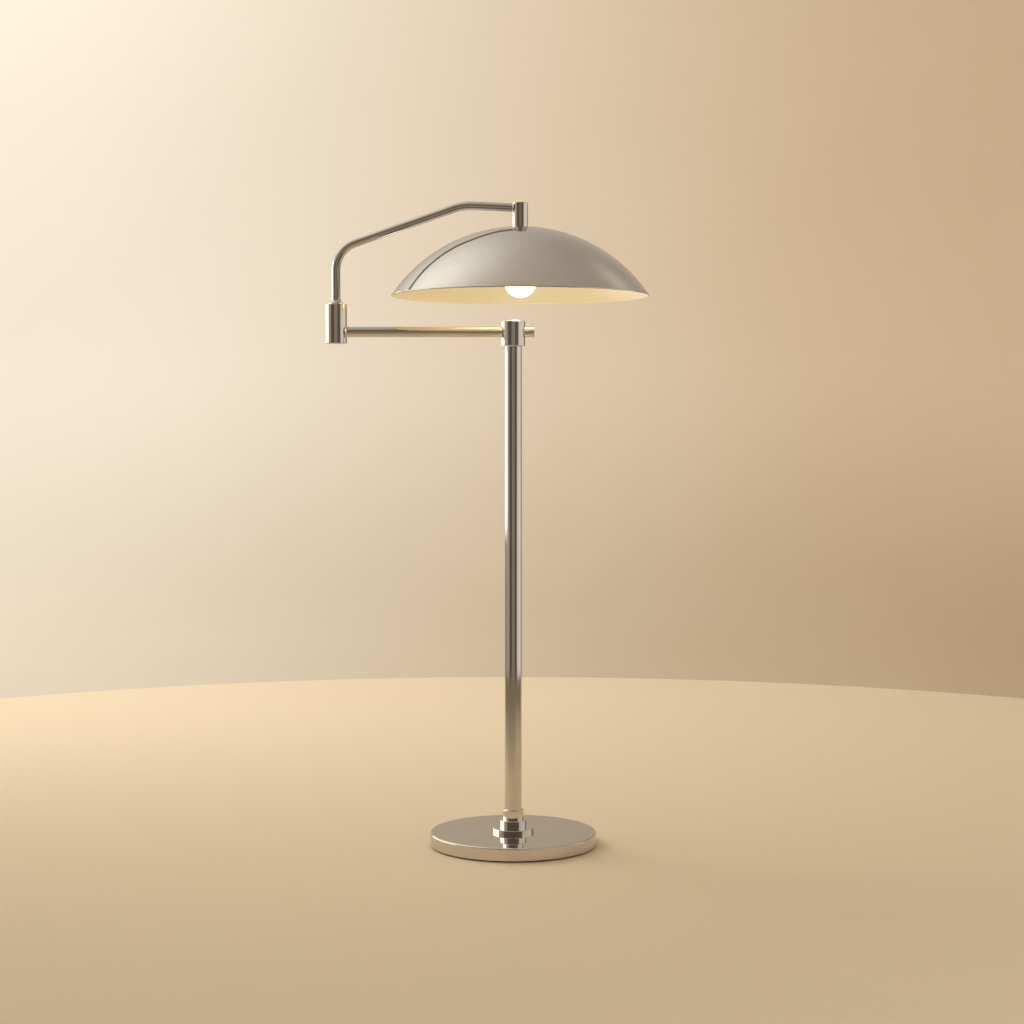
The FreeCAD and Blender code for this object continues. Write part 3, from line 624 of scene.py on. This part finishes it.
def polished_nickel():
    """Clear bright plating: faint smudges, a veil of polishing lines and a few dull specks."""
    material, g, shader = new_material("nickel")
    place = g.place()
    smudge = g.noise(11.0, place, 5.0, 0.62)
    lines = g.noise(60.0, place, 4.0, 0.6, (1.0, 1.0, 14.0))
    speck = g.smooth(g.noise(420.0, place, 2.0, 0.5), 0.70, 0.80)
    colour = g.mix(g.smooth(smudge, 0.35, 0.7), rgba((0.685, 0.655, 0.61)), rgba((0.64, 0.61, 0.562)))
    colour = g.mix(g.math("MULTIPLY", speck, 0.25), colour, rgba((0.42, 0.38, 0.33)))
    g.set(shader.inputs["Base Color"], colour)
    shader.inputs["Metallic"].default_value = 1.0
    haze = g.math("MULTIPLY_ADD", lines, 0.03, g.smooth(smudge, 0.42, 0.75, 0.03, 0.075))
    g.set(shader.inputs["Roughness"], g.math("MULTIPLY_ADD", speck, 0.12, haze))
    g.set(shader.inputs["Normal"], g.bump(lines, 0.02, 0.02 * MM))
    return material


def lit_glass():
    """Frosted envelope: brightest round the filament, duller towards the neck."""
    material, g, shader = new_material("lit_frosted_glass")
    low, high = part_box("bulb_glass")
    heart = (*upright_axis(low, high), low.z + 32.0 * MM)
    place = g.place()
    away = g.add("ShaderNodeVectorMath", {0: place, 1: heart}, operation="DISTANCE").outputs["Value"]
    frost = g.noise(900.0, place, 2.0, 0.5)
    glow = g.mix(g.smooth(away, 31.0 * MM, 46.0 * MM), rgba((1.0, 0.91, 0.74)), rgba((0.20, 0.135, 0.065)))
    glow = g.mix(g.math("MULTIPLY", frost, 0.05), glow, rgba((0.80, 0.66, 0.44)))
    g.set(shader.inputs["Emission Color"], glow)
    shader.inputs["Emission Strength"].default_value = 5.0
    shader.inputs["Base Color"].default_value = rgba((0.95, 0.93, 0.88))
    g.set(shader.inputs["Roughness"], g.smooth(frost, 0.3, 0.7, 0.30, 0.42))
    g.set(shader.inputs["Normal"], g.bump(frost, 0.2, 0.1 * MM))
    return material


def braid():
    """Woven wire sleeve."""
    material, g, shader = new_material("woven_sleeve")
    place = g.place()
    strands = g.noise(800.0, place, 2.0, 0.5, (1.0, 1.0, 0.4))
    weave = g.math("MULTIPLY", g.noise(1500.0, place, 1.0, 0.4), strands)
    tone = g.mix(g.smooth(weave, 0.1, 0.4), rgba((0.62, 0.57, 0.47)), rgba((0.84, 0.80, 0.71)))
    g.set(shader.inputs["Base Color"], tone)
    g.set(shader.inputs["Roughness"], g.smooth(weave, 0.1, 0.5, 0.75, 0.6))
    g.set(shader.inputs["Normal"], g.bump(weave, 0.6, 0.3 * MM))
    return material


def make_materials():
    """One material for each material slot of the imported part."""
    return {
        "polished_nickel": polished_nickel(),
        "frosted_glass": lit_glass(),
        "wire_sleeve": braid(),
        "shade_white": mottled(
            "white_enamel", ((0.885, 0.80, 0.60), (0.86, 0.77, 0.56)), 9.0, (0.30, 0.46),
            (520.0, 0.10, 0.2 * MM)),
        "felt": mottled(
            "dark_felt", ((0.030, 0.027, 0.024), (0.060, 0.054, 0.047)), 260.0, (0.86, 1.0),
            (2600.0, 0.9, 0.8 * MM), Sheen_Weight=0.35, Sheen_Roughness=0.5),
        "cast_iron": mottled(
            "raw_cast_iron", ((0.085, 0.080, 0.078), (0.17, 0.145, 0.125)), 60.0, (0.55, 0.85),
            (700.0, 0.8, 1.0 * MM), Metallic=0.65),
        "black_rubber": mottled(
            "moulded_rubber", ((0.022, 0.022, 0.022), (0.040, 0.038, 0.036)), 140.0, (0.55, 0.78),
            (1800.0, 0.35, 0.2 * MM)),
        "steel": mottled(
            "zinc_plated_steel", ((0.56, 0.56, 0.555), (0.47, 0.465, 0.45)), 90.0, (0.22, 0.42),
            (900.0, 0.25, 0.1 * MM), (1.0, 1.0, 0.08), Metallic=1.0),
        "nylon": mottled(
            "natural_nylon", ((0.80, 0.77, 0.69), (0.74, 0.70, 0.61)), 70.0, (0.36, 0.52),
            (1300.0, 0.2, 0.1 * MM), Subsurface_Weight=0.15, Subsurface_Scale=2.0 * MM),
        "brass": mottled(
            "turned_brass", ((0.80, 0.60, 0.30), (0.62, 0.43, 0.20)), 110.0, (0.16, 0.36),
            (1200.0, 0.2, 0.1 * MM), (1.0, 1.0, 6.0), Metallic=1.0),
        "cap_metal": mottled(
            "drawn_aluminium", ((0.76, 0.76, 0.75), (0.64, 0.635, 0.62)), 120.0, (0.20, 0.38),
            (1000.0, 0.25, 0.1 * MM), (1.0, 1.0, 0.1), Metallic=1.0),
        "porcelain": mottled(
            "glazed_porcelain", ((0.88, 0.87, 0.84), (0.82, 0.80, 0.75)), 50.0, (0.08, 0.2),
            (300.0, 0.08, 0.3 * MM), Coat_Weight=0.6),
        "phenolic": mottled(
            "brown_black_phenolic", ((0.020, 0.015, 0.012), (0.050, 0.030, 0.020)), 130.0, (0.18, 0.36),
            (1500.0, 0.1, 0.1 * MM)),
    }


def paint_nodes(materials):
    """Gives each CAD node the material made for its slot."""
    for node in NODES.values():
        for holder in node.material_slots:
            name = holder.material.name.split(".")[0] if holder.material else ""
            if name in materials:
                holder.material = materials[name]


MATERIALS = make_materials()
make_camera()
make_world()
make_stage()
make_lights()
paint_nodes(MATERIALS)
make_shade(MATERIALS["polished_nickel"], MATERIALS["shade_white"])
make_bulb(MATERIALS["frosted_glass"])
make_felt(MATERIALS["felt"])
bpy.context.scene.view_settings.view_transform = "Standard"
